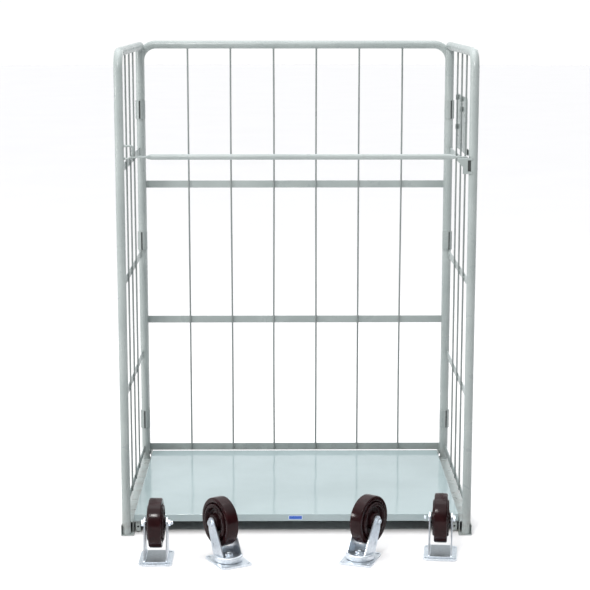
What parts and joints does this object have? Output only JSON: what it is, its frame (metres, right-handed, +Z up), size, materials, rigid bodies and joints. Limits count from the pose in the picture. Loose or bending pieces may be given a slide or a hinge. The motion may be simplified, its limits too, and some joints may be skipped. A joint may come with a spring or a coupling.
{
  "type": "roll cage container",
  "caption": "Three-sided painted tube and wire roll cage with a hinged steel deck, a retaining bar and loose plate casters standing upside down in front.",
  "frame": {"origin": "on the floor, under the middle of the whole set's bounding box", "axes": "+Z up; the cage's open front faces -Y; +X to the right for someone who looks into the cage"},
  "size_m": [1.1066, 1.1221, 1.5246],
  "materials": {
    "frame_paint": "semi-gloss pale grey-green baked paint on steel tube, bar and wire",
    "deck_paint": "glossy pale blue-grey baked paint on sheet steel",
    "zinc_plate": "bright zinc plating on pressed steel",
    "wheel_core": "dark brown moulded resin, satin",
    "tyre": "dark brown-black moulded tyre, slightly glossy",
    "label_blue": "plain blue sticker"
  },
  "bodies": {
    "back_frame": {"back_tube": "frame_paint", "back_grid": "frame_paint", "hinge_left_low": "frame_paint", "hinge_left_mid": "frame_paint", "hinge_left_top": "frame_paint", "hinge_right_low": "frame_paint", "hinge_right_mid": "frame_paint", "hinge_right_top": "frame_paint", "deck_lug_left": "frame_paint", "deck_lug_right": "frame_paint"},
    "left_side": {"left_post_and_rail": "frame_paint", "left_rear_post": "frame_paint", "left_grid": "frame_paint", "left_sill": "frame_paint", "foot_left_front": "frame_paint", "foot_left_rear": "frame_paint", "mount_left_front": "frame_paint", "mount_left_rear": "frame_paint", "bar_keeper": "frame_paint"},
    "right_side": {"right_post_and_rail": "frame_paint", "right_rear_post": "frame_paint", "right_grid": "frame_paint", "right_sill": "frame_paint", "foot_right_front": "frame_paint", "foot_right_rear": "frame_paint", "mount_right_front": "frame_paint", "mount_right_rear": "frame_paint", "bar_catch": "frame_paint", "catch_back": "frame_paint", "document_holder": "frame_paint"},
    "deck": {"deck_pan": "deck_paint", "deck_rib_1": "deck_paint", "deck_rib_2": "deck_paint", "deck_label": "label_blue"},
    "retaining_bar": {"retaining_bar": "frame_paint"},
    "fixed_caster_left": {"fixed_left_plate": "zinc_plate", "fixed_left_fork": "zinc_plate", "fixed_left_axle": "zinc_plate"},
    "fixed_wheel_left": {"fixed_left_core": "wheel_core", "fixed_left_tyre": "tyre"},
    "swivel_caster_left": {"swivel_left_plate": "zinc_plate", "swivel_left_race": "zinc_plate", "swivel_left_kingpin": "zinc_plate"},
    "swivel_fork_left": {"swivel_left_fork": "zinc_plate", "swivel_left_axle": "zinc_plate"},
    "swivel_wheel_left": {"swivel_left_core": "wheel_core", "swivel_left_tyre": "tyre"},
    "fixed_caster_right": {"fixed_right_plate": "zinc_plate", "fixed_right_fork": "zinc_plate", "fixed_right_axle": "zinc_plate"},
    "fixed_wheel_right": {"fixed_right_core": "wheel_core", "fixed_right_tyre": "tyre"},
    "swivel_caster_right": {"swivel_right_plate": "zinc_plate", "swivel_right_race": "zinc_plate", "swivel_right_kingpin": "zinc_plate"},
    "swivel_fork_right": {"swivel_right_fork": "zinc_plate", "swivel_right_axle": "zinc_plate"},
    "swivel_wheel_right": {"swivel_right_core": "wheel_core", "swivel_right_tyre": "tyre"}
  },
  "joints": [
    {"name": "bar_tilt", "type": "hinge", "parent": "left_side", "child": "retaining_bar", "pos_m": [-0.507, -0.2285, 1.1918], "axis": [0, -1, 0], "range_deg": [0, 60]},
    {"name": "deck_fold", "type": "hinge", "parent": "back_frame", "child": "deck", "pos_m": [0, 0.5235, 0.0505], "axis": [-1, 0, 0], "range_deg": [0, 90]},
    {"name": "frame_left_swing", "type": "hinge", "parent": "back_frame", "child": "left_side", "pos_m": [-0.5364, 0.5165, 0.75], "axis": [0, 0, -1], "range_deg": [0, 90]},
    {"name": "frame_right_swing", "type": "hinge", "parent": "back_frame", "child": "right_side", "pos_m": [0.5364, 0.5165, 0.75], "axis": [0, 0, 1], "range_deg": [0, 90]},
    {"name": "fork_left_swivel", "type": "hinge", "parent": "swivel_caster_left", "child": "swivel_fork_left", "pos_m": [-0.2065, -0.4837, 0.015], "axis": [0, 0, 1], "continuous": true},
    {"name": "fork_right_swivel", "type": "hinge", "parent": "swivel_caster_right", "child": "swivel_fork_right", "pos_m": [0.1903, -0.467, 0.015], "axis": [0, 0, 1], "continuous": true},
    {"name": "lift_fixed_left", "type": "slide", "parent": "back_frame", "child": "fixed_caster_left", "axis": [0, 0, 1], "range_m": [0, 0.25]},
    {"name": "lift_fixed_right", "type": "slide", "parent": "back_frame", "child": "fixed_caster_right", "axis": [0, 0, 1], "range_m": [0, 0.25]},
    {"name": "lift_swivel_left", "type": "slide", "parent": "back_frame", "child": "swivel_caster_left", "axis": [0, 0, 1], "range_m": [0, 0.25]},
    {"name": "lift_swivel_right", "type": "slide", "parent": "back_frame", "child": "swivel_caster_right", "axis": [0, 0, 1], "range_m": [0, 0.25]},
    {"name": "wheel_fixed_left", "type": "hinge", "parent": "fixed_caster_left", "child": "fixed_wheel_left", "pos_m": [-0.4242, -0.4614, 0.115], "axis": [-1, 0, 0], "continuous": true},
    {"name": "wheel_fixed_right", "type": "hinge", "parent": "fixed_caster_right", "child": "fixed_wheel_right", "pos_m": [0.437, -0.4189, 0.115], "axis": [0.9932, -0.1167, 0], "continuous": true},
    {"name": "wheel_swivel_left", "type": "hinge", "parent": "swivel_fork_left", "child": "swivel_wheel_left", "pos_m": [-0.2313, -0.44735, 0.115], "axis": [-0.8261, -0.5635, 0], "continuous": true},
    {"name": "wheel_swivel_right", "type": "hinge", "parent": "swivel_fork_right", "child": "swivel_wheel_right", "pos_m": [0.21696, -0.432, 0.115], "axis": [-0.7955, 0.606, 0], "continuous": true}
  ]
}
